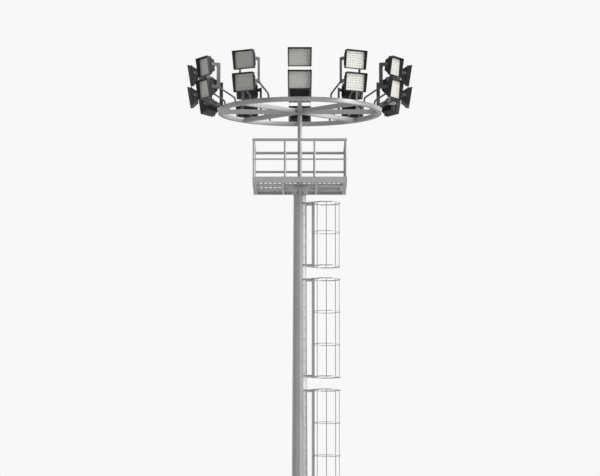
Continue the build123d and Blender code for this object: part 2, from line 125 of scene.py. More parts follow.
class PylonSizes(bpy.types.PropertyGroup):
    """Sizes of the details that dress the frame."""

    optic_columns: IntProperty(name="Optic columns", description="Optics across a lamp", min=1, default=8)
    optic_rows: IntProperty(name="Optic rows", description="Optics up a lamp", min=1, default=7)
    optic_gap: length_property("Optic gap", "Groove between optics", 0.004)
    optic_rise: length_property("Optic rise", "Height of an optic's dome", 0.003)
    board_width: length_property("Board width", "Width of the optic board", 0.548)
    board_height: length_property("Board height", "Height of the optic board", 0.428)
    board_thickness: length_property("Board thickness", "Thickness of the optic board", 0.005)
    flange_face: length_property("Flange face", "Lamp's front face ahead of its pivot", 0.060)
    flange_back: length_property("Flange back", "Back of the lamp's flange ahead of its pivot", 0.045)
    flange_screw_y: length_property("Flange screw y", "Flange screws' distance from the middle", 0.281)
    flange_screw_z: length_property("Flange screw z", "Flange screws' height over the lamp's middle", 0.170)
    lamp_drop: length_property("Lamp drop", "Lamp's middle under its pivot", 0.025)
    hood_top: length_property("Hood top", "Hood's upper lip ahead of the flange", 0.107)
    hood_bottom: length_property("Hood bottom", "Hood's lower lip ahead of the flange", 0.0715)
    hood_half_width: length_property("Hood half width", "Half width of the hood's upper lip", 0.302)
    hood_half_height: length_property("Hood half height", "Height of the hood's upper lip", 0.242)
    hood_low_half_width: length_property("Hood low width", "Half width of the hood's lower lip", 0.2947)
    hood_low_half_height: length_property("Hood low depth", "Depth of the hood's lower lip", 0.2347)
    hood_lip: length_property("Hood lip", "Radius of the rolled lip", 0.0045)
    box_back: length_property("Box back", "Lamp's rear face behind its pivot", 0.047)
    box_half_height: length_property("Box half height", "Half height of the rear face", 0.145)
    fin_count: IntProperty(name="Fins", description="Cooling fins on a lamp", min=2, default=15)
    fin_span: length_property("Fin span", "Width taken by the fins", 0.480)
    fin_thickness: length_property("Fin thickness", "Thickness of a cooling fin", 0.006)
    fin_depth: length_property("Fin depth", "How far a fin stands behind the rear face", 0.030)
    trunnion_bolt: length_property("Trunnion bolt", "Across corners of the trunnion bolts", 0.0368)
    trunnion_height: length_property("Trunnion bolt height", "Height of the trunnion bolts", 0.0135)
    small_bolt: length_property("Small bolt", "Across corners of the small bolts", 0.020)
    small_bolt_height: length_property("Small bolt height", "Height of the small bolt heads", 0.008)
    frame_middle: length_property("Frame middle", "Middle of a side frame from its lamp's middle", 0.276)
    frame_thickness: length_property("Frame thickness", "Thickness of a side frame", 0.008)
    frame_back: length_property("Frame back", "Back edge of a side frame behind the pivot", 0.230)
    frame_bar: length_property("Frame bar", "Width of a side frame's upright", 0.108)
    frame_arm: length_property("Frame arm", "Half height of a side frame's arm", 0.050)
    frame_nose: length_property("Frame nose", "Radius of an arm's end", 0.038)
    frame_edge: length_property("Frame edge", "Easing of a side frame's edges", 0.0014)
    frame_throat: length_property("Frame throat", "Rounding between upright and arm", 0.034)
    stay_radius: length_property("Stay radius", "Radius of a bent stay", 0.0232)
    stay_inset: length_property("Stay inset", "Stay's root from the frame's back edge", 0.036)
    stay_rise: length_property("Stay rise", "Stay's root over the frame's foot", 0.040)
    stay_knee: length_property("Stay knee", "Height of a stay's bend over the ring", 0.100)
    stay_bend: length_property("Stay bend", "Radius of a stay's bend", 0.085)
    rim_reach: length_property("Rim reach", "Middle of the rim from the axis", 2.070)
    inner_post: length_property("Inner post", "Inner posts' distance from the middle", 0.380)
    post_radius: length_property("Post radius", "Radius of a railing post", 0.027)
    mid_rail_radius: length_property("Middle rail radius", "Radius of the middle rail", 0.021)
    back_rail_radius: length_property("Back rail radius", "Radius of the back's middle rail", 0.031)
    mid_rail_height: length_property("Middle rail height", "Height of the middle rail", 14.085)
    stringer_thickness: length_property("Stringer thickness", "Thickness of a stringer", 0.012)
    short_module: length_property("Short module", "Height of the short ladder module on top", 1.677)
    module_height: length_property("Module height", "Height of a full ladder module", 2.560)
    module_pitch: length_property("Module pitch", "Step from one full module to the next", 2.870)
    full_modules: IntProperty(name="Full modules", description="Full ladder modules", min=1, default=3)
    rung_radius: length_property("Rung radius", "Radius of a rung", 0.014)
    rung_pitch: length_property("Rung pitch", "Step from rung to rung", 0.280)
    hoop_thickness: length_property("Hoop thickness", "Thickness of a hoop", 0.010)
    hoop_height: length_property("Hoop height", "Height of an end hoop", 0.026)
    hoop_tail: length_property("Hoop tail", "Bolt of a hoop's tail outside the stringer's middle", 0.022)
    cage_bar_radius: length_property("Cage bar radius", "Radius of an upright bar", 0.0092)
    weld_radius: length_property("Weld radius", "Radius of a weld bead", 0.006)
    weld_pitch: length_property("Weld pitch", "Length of one ripple of a weld", 0.011)
    soft_edge: length_property("Soft edge", "Rounding of the frame's edges", 0.0025)


class PylonStage(bpy.types.PropertyGroup):
    """Camera and light of the studio."""

    lens: FloatProperty(name="Lens", description="Focal length", subtype="DISTANCE_CAMERA", default=203)
    camera_back: length_property("Camera distance", "Camera's distance in front of the mast", 87.0)
    camera_height: length_property("Camera height", "Camera's height over the floor", 1.6)
    aim_height: length_property("Aim height", "Height on the mast at the picture's middle", 12.192)
    camera_side: FloatProperty(name="Camera side", description="Camera's place to the right of the mast",
                               unit="LENGTH", default=0.0065)
    aim_side: FloatProperty(name="Aim side", description="Sideways place at the picture's middle",
                            unit="LENGTH", default=0.0065)
    sun_strength: FloatProperty(name="Sun strength", description="Strength of the key light", default=4.4)
    sun_turn: angle_property("Sun turn", "Key light's turn to the right of the camera", 74)
    sun_rise: angle_property("Sun rise", "Key light's height over the horizon", 20)
    sun_spread: angle_property("Sun spread", "Softness of the key light", 60)
    ambient: FloatProperty(name="Ambient", description="Strength of the all-round light", default=0.25)
    floor_radius: length_property("Floor radius", "Radius of the floor", 400.0)


def both_ways(operation):
    """Operator with the term on its left, and the same with the term on its right."""
    return (lambda term, other: term.combine(operation, term, other),
            lambda term, other: term.combine(operation, other, term))


class Term:
    """One node output that Python arithmetic can work on."""

    def __init__(self, paint, socket):
        self.paint = paint
        self.socket = socket

    def combine(self, operation, *values):
        """Math node on values in order."""
        return self.paint.node("ShaderNodeMath", {"operation": operation}, dict(enumerate(values)))

    __add__, __radd__ = both_ways("ADD")
    __sub__, __rsub__ = both_ways("SUBTRACT")
    __mul__, __rmul__ = both_ways("MULTIPLY")
    __truediv__, __rtruediv__ = both_ways("DIVIDE")
    __mod__, __rmod__ = both_ways("FLOORED_MODULO")

    def floor(self):
        """Whole part."""
        return self.combine("FLOOR", self)

    def clamp(self):
        """Value held between nought and one."""
        return self.paint.node("ShaderNodeClamp", None, {"Value": self})

    def bigger(self, other):
        """Larger of two values."""
        return self.combine("MAXIMUM", self, other)


class Paint:
    """A node tree that is written as expressions."""

    def __init__(self, owner):
        owner.use_nodes = True
        self.owner = owner
        self.tree = owner.node_tree
        self.tree.nodes.clear()

    def node(self, kind, settings=None, sockets=None, out=0):
        """Add one node: its settings first, then the values or links of its sockets."""
        made = self.tree.nodes.new(kind)
        for key, value in (settings or {}).items():
            setattr(made, key, value)
        for key, value in (sockets or {}).items():
            if isinstance(value, Term):
                self.tree.links.new(value.socket, made.inputs[key])
            else:
                made.inputs[key].default_value = value
        return Term(self, made.outputs[out]) if made.outputs else None

    def mix(self, factor, first, second):
        """Blend two colours."""
        factor_slot, first_slot, second_slot, result = 0, 6, 7, 2
        return self.node("ShaderNodeMix", {"data_type": "RGBA"},
                         {factor_slot: factor, first_slot: first, second_slot: second}, result)

    def shades(self, tone, colour, shares):
        """Blend from a darker to a lighter shade of a colour."""
        dark, light = (opaque(colour, share) for share in shares)
        return self.mix(tone, dark, light)

    def place(self):
        """Coordinates that ride with the piece, in metres."""
        return self.node("ShaderNodeTexCoord", out="Object")

    def stretched(self, place, shares):
        """Coordinates scaled along each axis."""
        return self.node("ShaderNodeVectorMath", {"operation": "MULTIPLY"}, {0: place, 1: shares})

    def part(self, vector, axis):
        """One part of a vector."""
        return self.node("ShaderNodeSeparateXYZ", None, {"Vector": vector}, axis)

    def noise(self, place, scale, detail):
        """Cloudy value from nought to one."""
        return self.node("ShaderNodeTexNoise", None, {"Vector": place, "Scale": scale, "Detail": detail})

    def flakes(self, place, scale):
        """Random value for each crystal of a zinc skin."""
        sockets = {"Vector": place, "Scale": scale}
        colour = self.node("ShaderNodeTexVoronoi", {"feature": "F1"}, sockets, "Color")
        return self.node("ShaderNodeSeparateColor", None, {"Color": colour})

    def underside(self):
        """How far a face looks down, from nought to one; the mask of the painted underside shade."""
        normal = self.node("ShaderNodeTexCoord", out="Normal")
        return (0 - self.part(normal, "Z")).clamp()

    def varied(self, middle, *swings):
        """Value about a middle, moved by noises with their shares and held between nought and one."""
        for noise, share in swings:
            middle = middle + (noise - HALF) * share
        return middle.clamp()

    def bump(self, strength, depth, height):
        """Fine relief for a surface's normal."""
        sockets = {"Strength": strength, "Distance": depth, "Height": height}
        return self.node("ShaderNodeBump", None, sockets)

    def surface(self, sockets):
        """Finish the tree with a principled surface."""
        shader = self.node("ShaderNodeBsdfPrincipled", None, sockets)
        self.node("ShaderNodeOutputMaterial", None, {"Surface": shader})
        return self.owner


def opaque(colour, share=1.0):
    """Colour with its alpha, scaled by a share."""
    return tuple(min(1.0, part * share) for part in colour) + (1.0,)


def steel_finish(name, colour, metal, rough, underside_shade):
    """Zinc-coated steel: crystal flakes, rain streaks, cloudy weathering, and painted shade that darkens
    faces which look down.
    """
    flake_scale, cloud_scale, grain_scale, skin_depth = 46.0, 1.7, 320.0, 0.0006
    streak_shares, shade_shares, underside_shade_share = (11.0, 11.0, 0.45), (0.84, 1.14), 0.45
    paint = Paint(bpy.data.materials.new(name))
    place = paint.place()
    flake = paint.flakes(place, flake_scale)
    cloud = paint.noise(place, cloud_scale, 6.0)
    streak = paint.noise(paint.stretched(place, streak_shares), 1.0, 5.0)
    grain = paint.noise(place, grain_scale, 3.0)
    tone = paint.varied(HALF, (flake, 0.30), (cloud, 0.75), (streak, 0.55))
    base = paint.shades(tone, colour, shade_shares)
    return paint.surface({
        # Painted shade: faces that look down are blended towards a darker copy of the colour
        "Base Color": paint.mix(paint.underside() * underside_shade, base, opaque(colour, underside_shade_share)),
        "Metallic": metal,
        "Roughness": paint.varied(rough, (cloud, 0.22), (flake, 0.10)),
        "Normal": paint.bump(0.10, skin_depth, grain * HALF + flake * HALF),
    })


def deck_finish(name, colour):
    """Tread plate: raised lozenges that cross, scuffed on top."""
    pitch, tread_depth, cloud_scale, grain_scale = 0.034, 0.0016, 2.6, 260.0
    long_share, short_share, grain_share, shade_shares = 2.2, 26.0, 0.08, (0.82, 1.16)
    paint = Paint(bpy.data.materials.new(name))
    place = paint.place()
    cells = [paint.part(place, axis) / pitch for axis in "XY"]
    swapped = (cells[0].floor() + cells[1].floor()) % 2.0
    across, along = [cell % 1.0 - HALF for cell in cells]
    rising = across + along
    falling = across - along
    long_way = rising * swapped + falling * (1 - swapped)
    short_way = falling * swapped + rising * (1 - swapped)
    lozenge = (1 - long_way * long_way * long_share - short_way * short_way * short_share).bigger(0.0)
    cloud = paint.noise(place, cloud_scale, 6.0)
    grain = paint.noise(place, grain_scale, 3.0)
    tone = paint.varied(0.45 + lozenge * 0.25, (cloud, 0.9))
    return paint.surface({
        "Base Color": paint.shades(tone, colour, shade_shares),
        "Metallic": 0.25,
        "Roughness": paint.varied(0.58 - lozenge * 0.15, (cloud, 0.2)),
        "Normal": paint.bump(0.7, tread_depth, lozenge + grain * grain_share),
    })


def coated_finish(name, colour, rough, shine):
    """Baked powder coat: fine orange peel and a little dust."""
    peel_scale, peel_depth, dust_scale, shade_shares = 240.0, 0.0008, 5.0, (0.78, 1.28)
    paint = Paint(bpy.data.materials.new(name))
    place = paint.place()
    peel = paint.noise(place, peel_scale, 2.0)
    dust = paint.noise(place, dust_scale, 6.0)
    tone = paint.varied(HALF, (dust, 1.1), (peel, 0.3))
    return paint.surface({
        "Base Color": paint.shades(tone, colour, shade_shares),
        "Roughness": paint.varied(rough, (dust, 0.25)),
        "Specular IOR Level": shine,
        "Normal": paint.bump(0.16, peel_depth, peel),
    })


def optic_finish(name, colour):
    """Pale moulded optic with a faint ripple."""
    ripple_scale, ripple_depth, haze_scale, shade_shares = 60.0, 0.001, 7.0, (0.90, 1.10)
    paint = Paint(bpy.data.materials.new(name))
    place = paint.place()
    ripple = paint.noise(place, ripple_scale, 2.0)
    haze = paint.noise(place, haze_scale, 5.0)
    tone = paint.varied(HALF, (ripple, 0.5), (haze, 0.6))
    return paint.surface({
        "Base Color": paint.shades(tone, colour, shade_shares),
        "Roughness": paint.varied(0.26, (haze, 0.2)),
        "Coat Weight": 0.35,
        "Normal": paint.bump(0.12, ripple_depth, ripple),
    })


def zinc_finish(name, colour):
    """Bright plated fastener with a brushed grain."""
    brush_scale, brush_depth, stain_scale, shade_shares = 420.0, 0.0004, 24.0, (0.80, 1.15)
    paint = Paint(bpy.data.materials.new(name))
    place = paint.place()
    brush = paint.noise(place, brush_scale, 3.0)
    stain = paint.noise(place, stain_scale, 4.0)
    tone = paint.varied(HALF, (brush, 0.6), (stain, 0.8))
    return paint.surface({
        "Base Color": paint.shades(tone, colour, shade_shares),
        "Metallic": 0.55,
        "Roughness": paint.varied(0.36, (stain, 0.25)),
        "Normal": paint.bump(0.08, brush_depth, brush),
    })


# Maker, colour and numbers of each finish; a steel's last number is the strength of its painted underside
# shade
FINISHES = {
    "galvanised_steel": (steel_finish, "steel", 0.14, 0.38, 0.5),
    "bright_steel": (steel_finish, "bright", 0.14, 0.45, 0.5),
    "rail_steel": (steel_finish, "rail", 0.14, 0.45, 0.0),
    "cage_steel": (steel_finish, "cage", 0.12, 0.45, 0.0),
    "weld_metal": (steel_finish, "weld", 0.45, 0.48, 0.0),
    "tread_plate": (deck_finish, "deck"),
    "bracket_coat": (coated_finish, "bracket", 0.45, 0.40),
    "housing_coat": (coated_finish, "housing", 0.55, 0.15),
    "board_coat": (coated_finish, "board", 0.50, 0.30),
    "moulded_optic": (optic_finish, "optic"),
    "plated_zinc": (zinc_finish, "zinc"),
}


def finish(name):
    """Material by name, made the first time it is asked for."""
    maker, colour, *numbers = FINISHES[name]
    found = bpy.data.materials.get(name)
    return found or maker(name, getattr(bpy.context.scene.pylon_finishes, colour), *numbers)


def put(name, data):
    """Add an object to the scene."""
    made = bpy.data.objects.new(name, data)
    bpy.context.scene.collection.objects.link(made)
    return made


class Shell:
    """Points and faces of one piece while it is being made."""

    def __init__(self):
        self.points = []
        self.faces = []
        self.tags = []

    def loft(self, rings, tag=0, closed=False):
        """Join rings of equal count into a skin, capped unless it closes on itself."""
        first = len(self.points)
        sides = len(rings[0])
        for ring in rings:
            self.points.extend(ring)
        spans = len(rings) if closed else len(rings) - 1
        made = []
        for span in range(spans):
            low = first + span * sides
            high = first + (span + 1) % len(rings) * sides
            for side in range(sides):
                step = (side + 1) % sides
                made.append((low + side, low + step, high + step, high + side))
        if not closed:
            last = first + (len(rings) - 1) * sides
            made.append(tuple(range(first + sides - 1, first - 1, -1)))
            made.append(tuple(range(last, last + sides)))
        self.faces.extend(made)
        self.tags.extend([tag] * len(made))

    def tube(self, path, radius, sides, tag=0, closed=False, ripple_share=0.0):
        """Round section along a path; a ripple makes it a weld bead."""
        rings = []
        count = len(path)
        normal = None
        for index, point in enumerate(path):
            if closed:
                before, after = path[index - 1], path[(index + 1) % count]
            else:
                before, after = path[max(index - 1, 0)], path[min(index + 1, count - 1)]
            along = (after - before).normalized()
            normal = along.orthogonal() if normal is None else normal
            normal = (normal - along * normal.dot(along)).normalized()
            side = along.cross(normal)
            swell = radius * (1 + ripple_share * (index % 2))
            ring = []
            for turn in range(sides):
                angle = 2 * math.pi * turn / sides
                ring.append(point + (normal * math.cos(angle) + side * math.sin(angle)) * swell)
            rings.append(ring)
        self.loft(rings, tag, closed)

    def block(self, low, high, edge, place, tag=0):
        """Box with its edges broken."""
        heights = ((low.z, edge), (low.z + edge, 0), (high.z - edge, 0), (high.z, edge))
        rings = []
        for z, inset in heights:
            corners = cut_corners(low.x + inset, high.x - inset, low.y + inset, high.y - inset, edge)
            rings.append([place @ Vector((x, y, z)) for x, y in corners])
        self.loft(rings, tag)

    def bolt(self, place, across, height, tag=0):
        """Hexagon head on a washer, standing along the placing's z axis."""
        washer_share, washer_height_share, corner_share, hexagon, circle = 0.57, 0.22, 0.12, 6, 16
        washer = across * washer_share
        seat = height * washer_height_share
        corner = across * corner_share
        self.loft([flat_ring(place, washer, z, circle) for z in (0, seat)], tag)
        head = ((across / 2, seat), (across / 2, height - corner), (across / 2 - corner, height))
        self.loft([flat_ring(place, radius, z, hexagon) for radius, z in head], tag)

    def bead(self, path, radius, closed=False):
        """Weld bead along a path, rippled by the pitch of its runs."""
        pitch = bpy.context.scene.pylon_sizes.weld_pitch
        bead_sides, ripple_share = 6, 0.28
        self.tube(stepped(path, pitch, closed), radius, bead_sides, 0, closed, ripple_share)

    def plate(self, outline, place, thickness, edge, tag=0):
        """Flat plate across a placing's y axis, its edges eased."""
        half = thickness / 2
        inner = inset(outline, edge)
        rings = []
        for side, flat in ((-half, inner), (edge - half, outline), (half - edge, outline), (half, inner)):
            rings.append([place @ Vector((point.x, side, point.y)) for point in flat])
        self.loft(rings, tag)

    def piece(self, name, body, finishes, stands_for=()):
        """Turn the points and faces into an object that rides on a body."""
        mesh = bpy.data.meshes.new(name)
        mesh.from_pydata(self.points, [], self.faces)
        mesh.polygons.foreach_set("material_index", self.tags)
        mesh.polygons.foreach_set("use_smooth", [True] * len(self.faces))
        mesh.set_sharp_from_angle(angle=SMOOTH_ANGLE)
        for entry in finishes:
            mesh.materials.append(finish(entry))
        made = put(name, mesh)
        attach(made, body)
        if stands_for:
            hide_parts(*stands_for)


def cut_corners(x0, x1, y0, y1, cut):
    """Rectangle run anticlockwise, its corners cut off."""
    return ((x0 + cut, y0), (x1 - cut, y0), (x1, y0 + cut), (x1, y1 - cut),
            (x1 - cut, y1), (x0 + cut, y1), (x0, y1 - cut), (x0, y0 + cut))


def flat_ring(place, radius, z, sides):
    """Regular ring of points across a placing's z axis."""
    ring = []
    for turn in range(sides):
        angle = 2 * math.pi * turn / sides
        ring.append(place @ Vector((radius * math.cos(angle), radius * math.sin(angle), z)))
    return ring


def stepped(path, pitch, closed):
    """Same path with points about a pitch apart."""
    ends = path + path[:1] if closed else path
    points = []
    for start, end in zip(ends, ends[1:]):
        count = max(1, round((end - start).length / pitch))
        points.extend(start.lerp(end, index / count) for index in range(count))
    return points if closed else points + [ends[-1]]


def rounded(corners, closed, steps=6):
    """Path through corners, each a point and the radius of its rounding."""
    path = []
    last = len(corners) - 1
    for index, (point, radius) in enumerate(corners):
        if not radius or (not closed and index in (0, last)):
            path.append(point)
            continue
        back = (corners[index - 1][0] - point).normalized()
        ahead = (corners[(index + 1) % len(corners)][0] - point).normalized()
        half = back.angle(ahead) / 2
        centre = point + (back + ahead).normalized() * radius / math.sin(half)
        start = point + back * radius / math.tan(half) - centre
        end = point + ahead * radius / math.tan(half) - centre
        turn = math.pi - 2 * half
        for step in range(steps + 1):
            share = step / steps
            arm = start * math.sin((1 - share) * turn) + end * math.sin(share * turn)
            path.append(centre + arm / math.sin(turn))
    return path


def inset(outline, distance):
    """Closed outline, run anticlockwise, moved inwards."""
    moved = []
    count = len(outline)
    for index, point in enumerate(outline):
        ahead = (outline[(index + 1) % count] - outline[index - 1]).normalized()
        moved.append(point + Vector((-ahead.y, ahead.x)) * distance)
    return moved


def loop_round(place, half_y, z0, z1, reach):
    """Corners of a bead round a bar of the ring, bent to the round face that it meets."""
    path = []
    steps = 8
    for z, way in ((z0, 1), (z1, -1)):
        for step in range(steps + 1):
            y = way * half_y * (2 * step / steps - 1)
            path.append(place @ Vector((math.sqrt(reach * reach - y * y), y, z)))
    return path


def facing(point, direction):
    """Placing whose z axis points along a direction."""
    return Matrix.Translation(point) @ direction.to_track_quat("Z", "Y").to_matrix().to_4x4()


def lamps():
    """Body and level placing of every floodlight, read from its joint; x forward, z up."""
    found = []
    for joint in frame["joints"]:
        if joint["name"].endswith("_tilt"):
            side = -Vector(joint["axis"])
            turn = Matrix((side.cross(UP), side, UP)).transposed().to_4x4()
            found.append((joint["child"], Matrix.Translation(joint["pos_m"]) @ turn))
    return found


def tipped(level):
    """Placing of a floodlight tipped to its rest tilt."""
    return level @ Matrix.Rotation(REST_TILT, 4, "Y")


def lamp_front(body, place):
    """Optic board inside a hood, and the hood's rolled lip."""
    sizes = bpy.context.scene.pylon_sizes
    board_edge_share, corner_share, lip_bend_share, lip_sides = 0.25, 0.30, 2.0, 8
    dome_shares = ((1.0, 0.0), (0.97, 0.45), (0.80, 0.80), (0.45, 0.97), (0.12, 1.0))
    shell = Shell()
    place = place @ Matrix.Translation((0, 0, -sizes.lamp_drop))
    back = sizes.flange_face
    face = back + sizes.board_thickness
    half_w, half_h = sizes.board_width / 2, sizes.board_height / 2
    shell.block(Vector((back, -half_w, -half_h)), Vector((face, half_w, half_h)),
                sizes.board_thickness * board_edge_share, place, 1)
    pitch_y = sizes.board_width / sizes.optic_columns
    pitch_z = sizes.board_height / sizes.optic_rows
    for column in range(sizes.optic_columns):
        for row in range(sizes.optic_rows):
            y = (column + 1 / 2) * pitch_y - half_w
            z = (row + 1 / 2) * pitch_z - half_h
            rings = []
            for spread, rise in dome_shares:
                wide = (pitch_y - sizes.optic_gap) / 2 * spread
                tall = (pitch_z - sizes.optic_gap) / 2 * spread
                cut = min(wide, tall) * corner_share
                corners = cut_corners(y - wide, y + wide, z - tall, z + tall, cut)
                x = face + sizes.optic_rise * rise
                rings.append([place @ Vector((x, *corner)) for corner in corners])
            shell.loft(rings)
    top, bottom = back + sizes.hood_top, back + sizes.hood_bottom
    corners = ((top, -sizes.hood_half_width, sizes.hood_half_height),
               (bottom, -sizes.hood_low_half_width, -sizes.hood_low_half_height),
               (bottom, sizes.hood_low_half_width, -sizes.hood_low_half_height),
               (top, sizes.hood_half_width, sizes.hood_half_height))
    lip = rounded([(place @ Vector(corner), sizes.hood_lip * lip_bend_share) for corner in corners], True)
    shell.tube(lip, sizes.hood_lip, lip_sides, 2, True)
    finishes = ("moulded_optic", "board_coat", "housing_coat")
    shell.piece("lamp_front_" + body[-8:], body, finishes)


def lamp_back(body, place):
    """Cooling fins on the rear box, flange screws and the plated bolts of the trunnions."""
    sizes = bpy.context.scene.pylon_sizes
    ease_share, round_steps = 0.2, 3
    shell = Shell()
    front = sizes.fin_thickness - sizes.box_back
    outer = -sizes.box_back - sizes.fin_depth
    tall = sizes.box_half_height
    corners = ((outer, -tall), (front, -tall), (front, tall), (outer, tall))
    outline = rounded([(Vector(corner), sizes.fin_thickness) for corner in corners], True, round_steps)
    housing = place @ Matrix.Translation((0, 0, -sizes.lamp_drop))
    for index in range(sizes.fin_count):
        y = sizes.fin_span * (index / (sizes.fin_count - 1) - 1 / 2)
        shell.plate(outline, housing @ Matrix.Translation((0, y, 0)), sizes.fin_thickness,
                    sizes.fin_thickness * ease_share)
    backwards = place.to_3x3() @ Vector((-1, 0, 0))
    for z in (-sizes.flange_screw_z, sizes.flange_screw_z):
        for y in (-sizes.flange_screw_y, sizes.flange_screw_y):
            seat = housing @ Vector((sizes.flange_back, y, z))
            shell.bolt(facing(seat, backwards), sizes.small_bolt * SCREW_SHARE, sizes.small_bolt_height, 1)
    for side in (-1, 1):
        seat = place @ Vector((0, side * (sizes.frame_middle + sizes.frame_thickness / 2), 0))
        out = place.to_3x3() @ Vector((0, side, 0))
        shell.bolt(facing(seat, out), sizes.trunnion_bolt, sizes.trunnion_height, 1)
    shell.piece("lamp_back_" + body[-8:], body, ("housing_coat", "plated_zinc"))


def side_frame(shell, place, reach, low, high):
    """One slotted plate with its bent round stay, drawn along a station's x axis."""
    sizes = bpy.context.scene.pylon_sizes
    bend_share, corner_share, stay_sides, bend_steps = 0.94, 3.0, 20, 10
    back = reach - sizes.frame_back
    inner = back + sizes.frame_bar
    tip = reach + sizes.frame_nose
    nose, arm = sizes.frame_nose, sizes.frame_arm
    bend, corner = nose * bend_share, sizes.frame_edge * corner_share
    lower = [(back, low - arm, corner), (inner, low - arm, 0), (tip, low - nose, bend),
             (tip, low + nose, bend), (inner, low + arm, sizes.frame_throat)]
    upper = [(x, low + high - z, radius) for x, z, radius in reversed(lower)]
    outline = rounded([(Vector((x, z)), radius) for x, z, radius in lower + upper], True)
    shell.plate(outline, place, sizes.frame_thickness, sizes.frame_edge)
    ring_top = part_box("ring_rim")[1].z
    root = Vector((back + sizes.stay_inset, 0, low - arm + sizes.stay_rise))
    knee = Vector((sizes.rim_reach, 0, ring_top + sizes.stay_knee))
    foot = Vector((sizes.rim_reach, 0, ring_top))
    path = rounded([(root, 0), (knee, sizes.stay_bend), (foot, 0)], False, bend_steps)
    shell.tube([place @ point for point in path], sizes.stay_radius, stay_sides)
    ring = flat_ring(place @ Matrix.Translation(foot), sizes.stay_radius, 0, stay_sides)
    shell.bead(ring, sizes.weld_radius, True)
    for side in (-1, 1):
        seat = root + Vector((0, side * sizes.stay_radius, 0))
        out = place.to_3x3() @ Vector((0, side, 0))
        shell.bolt(facing(place @ seat, out), sizes.small_bolt, sizes.small_bolt_height, 1)


def soften(node, width):
    """Round a frame node's edges with modifiers, its own mesh left as it is."""
    join_distance, edge_angle = 1e-5, math.radians(50)
    weld = node.modifiers.new("joined_corners", "WELD")
    weld.merge_threshold = join_distance
    bevel = node.modifiers.new("soft_edges", "BEVEL")
    bevel.width = width
    bevel.segments = 2
    bevel.limit_method = "ANGLE"
    bevel.angle_limit = edge_angle
    bevel.harden_normals = False


class PYLON_OT_paint_frame(bpy.types.Operator):
    """Give every frame node its finish, and soft edges to the lamps and the nodes listed as soft"""

    bl_idname = "pylon.paint_frame"
    bl_label = "Paint the frame"

    def execute(self, context):
        """Assign a finish to each node by its group."""
        groups = ((STEEL_NODES, "galvanised_steel"), (PAINTED_LIGHT_NODES, "bright_steel"),
                  (DECK_NODES, "tread_plate"), (CAGE_NODES, "cage_steel"), (FRAME_STATIONS, "bracket_coat"))
        edge = context.scene.pylon_sizes.soft_edge
        finishes = {name: entry for names, entry in groups for name in names}
        for name, node in frame["nodes"].items():
            is_lamp = name.startswith("floodlight")
            entry = finishes.get(name, "housing_coat" if is_lamp else "galvanised_steel")
            node.data.materials.clear()
            node.data.materials.append(finish(entry))
            if is_lamp or name in SOFT_NODES:
                soften(node, edge)
        return {"FINISHED"}


class PYLON_OT_lamp_fronts(bpy.types.Operator):
    """Build the optic board of every floodlight"""

    bl_idname = "pylon.lamp_fronts"
    bl_label = "Lamp fronts"

    def execute(self, context):
        """One board for each floodlight."""
        for body, level in lamps():
            lamp_front(body, tipped(level))
        return {"FINISHED"}


class PYLON_OT_lamp_backs(bpy.types.Operator):
    """Build the cooling fins and trunnion bolts of every floodlight"""

    bl_idname = "pylon.lamp_backs"
    bl_label = "Lamp backs"

    def execute(self, context):
        """One set for each floodlight."""
        for body, level in lamps():
            lamp_back(body, tipped(level))
        return {"FINISHED"}


class PYLON_OT_side_frames(bpy.types.Operator):
    """Build the side frames with round stays"""

    bl_idname = "pylon.side_frames"
    bl_label = "Side frames"

    def execute(self, context):
        """Two frames at each station, three stations to a piece."""
        middle = context.scene.pylon_sizes.frame_middle
        stations = {}
        for body, level in lamps():
            number, storey = body.split("_")[1:]
            stations.setdefault(number, {})[storey] = level
        for name, numbers in FRAME_STATIONS.items():
            shell = Shell()
            for number in numbers:
                upper, lower = stations[number]["upper"], stations[number]["lower"]
                turn = upper.to_3x3().to_4x4()
                reach = upper.translation.xy.length
                for side in (-middle, middle):
                    place = turn @ Matrix.Translation((0, side, 0))
                    side_frame(shell, place, reach, lower.translation.z, upper.translation.z)
            shell.piece(name + "_plates", "pylon", ("bracket_coat", "plated_zinc"),
                        (name,))
        return {"FINISHED"}


def railing(name, turn, posts, rail_end, mid_radius):
    """Round posts and rails of one side, drawn at the front and turned to its place."""
    sizes = bpy.context.scene.pylon_sizes
    shell = Shell()
    low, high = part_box("railing_front")
    y = (low.y + high.y) / 2
    top_radius = (high.y - low.y) / 2
    top = high.z - top_radius
    post_sides, rail_sides, ease = 20, 28, 0.004
    place = Matrix.Rotation(math.radians(turn), 4, "Z")
    for x in posts:
        shell.tube([place @ Vector((x, y, z)) for z in (low.z, top)], sizes.post_radius, post_sides)
        ring = flat_ring(place @ Matrix.Translation((x, y, low.z)), sizes.post_radius, 0, post_sides)
        shell.bead(ring, sizes.weld_radius, True)
    for z, radius in ((top, top_radius), (sizes.mid_rail_height, mid_radius)):
        rings = []
        for x, cut in ((-rail_end, ease), (ease - rail_end, 0), (rail_end - ease, 0), (rail_end, ease)):
            turned = facing(Vector((x, y, z)), Vector((1, 0, 0)))
            rings.append(flat_ring(place @ turned, radius - cut, 0, rail_sides))
        shell.loft(rings)
    shell.piece(name + "_tubes", "pylon", ("rail_steel",), (name,))


class PYLON_OT_railings(bpy.types.Operator):
    """Build the platform's railings from round tube"""

    bl_idname = "pylon.railings"
    bl_label = "Railings"

    def execute(self, context):
        """Front and back run past the corners; the sides stop between them."""
        sizes = context.scene.pylon_sizes
        low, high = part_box("railing_front")
        corner = -(low.y + high.y) / 2
        inner = (-sizes.inner_post, sizes.inner_post)
        outer = (-corner, *inner, corner)
        long_end, short_end = high.x, -high.y
        thin, thick = sizes.mid_rail_radius, sizes.back_rail_radius
        railing("railing_front", 0, outer, long_end, thin)
        railing("railing_back", 180, outer, long_end, thick)
        railing("railing_left", -90, inner, short_end, thin)
        railing("railing_right", 90, inner, short_end, thin)
        return {"FINISHED"}


